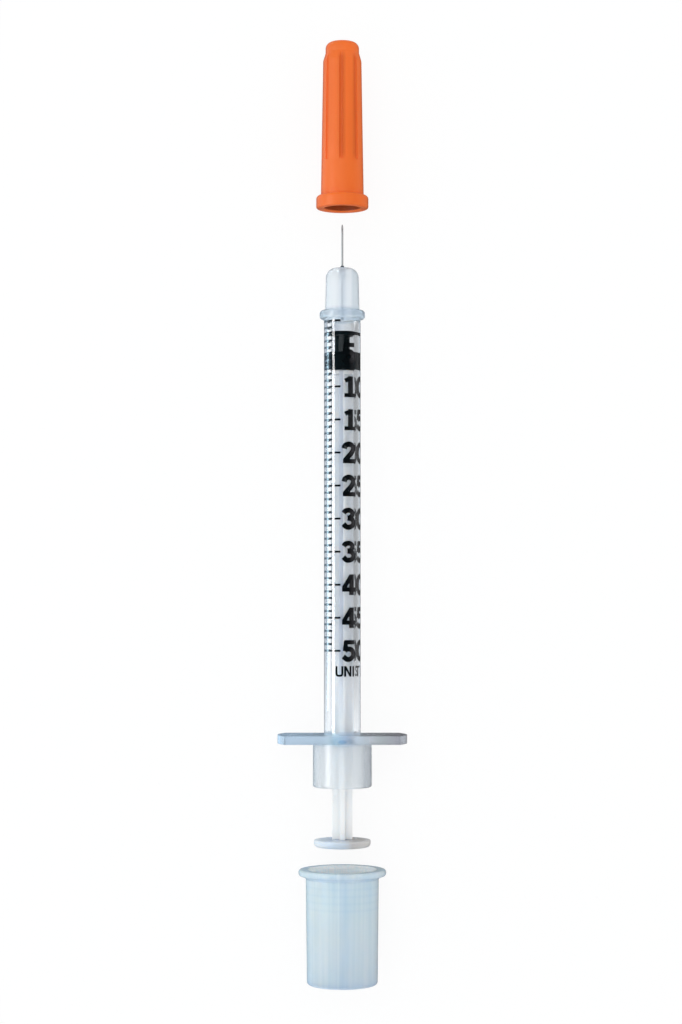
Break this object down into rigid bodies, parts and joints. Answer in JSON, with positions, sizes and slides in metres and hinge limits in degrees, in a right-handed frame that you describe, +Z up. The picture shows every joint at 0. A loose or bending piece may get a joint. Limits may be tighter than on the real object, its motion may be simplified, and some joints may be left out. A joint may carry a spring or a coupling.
{
  "type": "insulin syringe",
  "caption": "Small insulin syringe lying with its orange needle shield and pale plunger cap drawn off, graduated barrel, fixed fine needle, rubber stopper and cross-blade plunger rod.",
  "frame": {"origin": "on the surface it lies on, under the centre of the box around the syringe, shield and cap", "axes": "+Y along the syringe's axis towards the needle, +X along the finger flange's width, +Z up, through the flange's flat sides"},
  "size_m": [0.0192, 0.1394, 0.013],
  "materials": {
    "shield": "satin moulded polyethylene",
    "needle_steel": "drawn stainless tube",
    "adhesive": "cured clear resin",
    "barrel": "translucent moulded polypropylene",
    "stopper": "black lubricated rubber",
    "rod": "white moulded polypropylene",
    "cap": "cloudy pale blue moulded polyethylene"
  },
  "bodies": {
    "barrel": {"barrel": "barrel", "needle_cannula": "needle_steel", "needle_adhesive": "adhesive"},
    "shield": {"needle_shield": "shield"},
    "stopper": {"plunger_stopper": "stopper"},
    "rod": {"plunger_rod": "rod"},
    "cap": {"plunger_cap": "cap"}
  },
  "joints": [
    {"name": "shield_slide", "type": "slide", "parent": "barrel", "child": "shield", "axis": [0, -1, 0], "range_m": [0, 0.01508]},
    {"name": "plunger_slide", "type": "slide", "parent": "barrel", "child": "stopper", "axis": [0, -1, 0], "range_m": [-0.0015, 0.04708]},
    {"name": "rod_twist", "type": "hinge", "parent": "stopper", "child": "rod", "pos_m": [0, -0.04, 0.0065], "axis": [0, 1, 0], "continuous": true},
    {"name": "cap_slide", "type": "slide", "parent": "stopper", "child": "cap", "axis": [0, 1, 0], "range_m": [0, 0.0163]}
  ]
}
